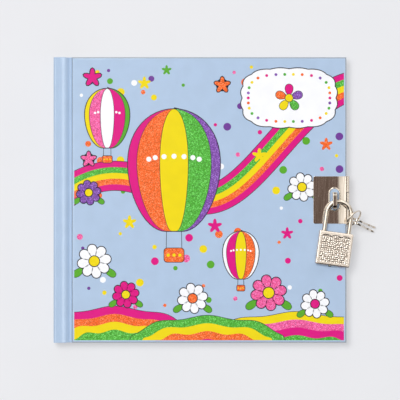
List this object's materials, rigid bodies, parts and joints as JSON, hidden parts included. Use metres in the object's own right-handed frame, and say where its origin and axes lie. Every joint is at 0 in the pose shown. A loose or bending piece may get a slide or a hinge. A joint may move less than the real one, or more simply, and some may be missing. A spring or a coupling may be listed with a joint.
{
  "type": "locking diary",
  "caption": "Square case-bound diary with a grooved printed cover, held shut by a fore-edge hasp, a staple and a small padlock with keys on a ring.",
  "frame": {"origin": "centre of the back cover's underside", "axes": "+X from the spine to the fore-edge, +Y from the tail to the head, +Z out of the front cover"},
  "size_m": [0.1755, 0.154, 0.0245],
  "materials": {
    "laminated_paper": "glossy film over pale blue printed paper",
    "greyboard": "matt grey board",
    "endpaper": "smooth white endpaper",
    "leaves": "uncoated off-white writing paper",
    "binding_cloth": "open-weave lining and woven band",
    "nickel_sheet": "polished nickel plate on steel sheet",
    "padlock_nickel": "warm nickel plate, pebbled face field",
    "bright_steel": "bright drawn steel"
  },
  "bodies": {
    "back_case": {"back_cover_board": "greyboard", "back_cover_covering": "laminated_paper", "back_joint_board": "greyboard", "back_joint_covering": "laminated_paper", "spine_board": "greyboard", "spine_covering": "laminated_paper", "back_pastedown": "endpaper", "back_flyleaf": "endpaper", "page_block": "leaves", "spine_lining": "binding_cloth", "head_band": "binding_cloth", "tail_band": "binding_cloth", "hasp_strap": "nickel_sheet", "hasp_pin": "bright_steel", "hasp_rivet_1": "bright_steel", "hasp_rivet_2": "bright_steel"},
    "front_joint_strip": {"front_joint_board": "greyboard", "front_joint_covering": "laminated_paper"},
    "front_cover": {"front_cover_board": "greyboard", "front_cover_covering": "laminated_paper", "front_pastedown": "endpaper", "staple": "nickel_sheet"},
    "first_leaves": {"first_leaves": "leaves"},
    "front_flyleaf": {"front_flyleaf": "endpaper"},
    "hasp_flap": {"hasp_flap": "nickel_sheet"},
    "padlock_shackle": {"padlock_shackle": "padlock_nickel"},
    "padlock_body": {"padlock_front_shell": "padlock_nickel", "padlock_back_shell": "padlock_nickel", "padlock_latch_spring": "bright_steel"},
    "padlock_plug": {"padlock_plug": "bright_steel"},
    "padlock_latch": {"padlock_latch": "bright_steel"},
    "key_ring": {"key_ring": "bright_steel"},
    "key_1": {"key_1": "padlock_nickel"},
    "key_2": {"key_2": "padlock_nickel"}
  },
  "joints": [
    {"name": "cover_crease", "type": "hinge", "parent": "back_case", "child": "front_joint_strip", "pos_m": [-0.079, 0, 0.0151], "axis": [0, -1, 0], "range_deg": [0, 150]},
    {"name": "cover_groove", "type": "hinge", "parent": "front_joint_strip", "child": "front_cover", "pos_m": [-0.0707, 0, 0.016], "axis": [0, -1, 0], "range_deg": [0, 30]},
    {"name": "leaves_turn", "type": "hinge", "parent": "back_case", "child": "first_leaves", "pos_m": [-0.0713, 0, 0.0147], "axis": [0, -1, 0], "range_deg": [0, 120]},
    {"name": "flyleaf_turn", "type": "hinge", "parent": "back_case", "child": "front_flyleaf", "pos_m": [-0.0723, 0, 0.0149], "axis": [0, -1, 0], "range_deg": [0, 130]},
    {"name": "hasp_swing", "type": "hinge", "parent": "back_case", "child": "hasp_flap", "pos_m": [0.07975, 0, 0.0186], "axis": [0, 1, 0], "range_deg": [0, 225]},
    {"name": "padlock_swing", "type": "hinge", "parent": "front_cover", "child": "padlock_shackle", "pos_m": [0.07245, -0.00125, 0.02185], "axis": [-0.9451, -0.3232, 0.0483], "range_deg": [0, 110]},
    {"name": "padlock_release", "type": "slide", "parent": "padlock_shackle", "child": "padlock_body", "axis": [-0.1357, -0.9907, -0.014], "range_m": [0, 0.005]},
    {"name": "plug_turn", "type": "hinge", "parent": "padlock_body", "child": "padlock_plug", "pos_m": [0.07089, -0.03473, 0.0212], "axis": [0.1357, 0.9907, 0.014], "range_deg": [0, 90]},
    {"name": "latch_slide", "type": "slide", "parent": "padlock_body", "child": "padlock_latch", "axis": [-0.989, 0.1346, 0.061], "range_m": [0, 0.00115], "deforming": ["padlock_latch_spring"]},
    {"name": "ring_swing", "type": "hinge", "parent": "padlock_shackle", "child": "key_ring", "pos_m": [0.08059, -0.01315, 0.02111], "axis": [-0.1357, -0.9907, -0.014], "range_deg": [0, 60]},
    {"name": "key_1_swing", "type": "hinge", "parent": "key_ring", "child": "key_1", "pos_m": [0.08444, -0.01162, 0.01428], "axis": [-0.4226, -0.9063, 0], "range_deg": [0, 60]},
    {"name": "key_2_swing", "type": "hinge", "parent": "key_ring", "child": "key_2", "pos_m": [0.08444, -0.01162, 0.01428], "axis": [-0.3746, -0.9272, 0], "range_deg": [0, 60]}
  ],
  "couplings": [
    {"joint": "leaves_turn", "follows": "cover_crease", "ratio": 0.8},
    {"joint": "flyleaf_turn", "follows": "cover_crease", "ratio": 0.8666},
    {"joint": "hasp_swing", "follows": "cover_crease", "ratio": 1.5},
    {"joint": "plug_turn", "follows": "padlock_release", "rad_per_m": 314.1},
    {"joint": "latch_slide", "follows": "padlock_release", "ratio": 0.2296}
  ]
}
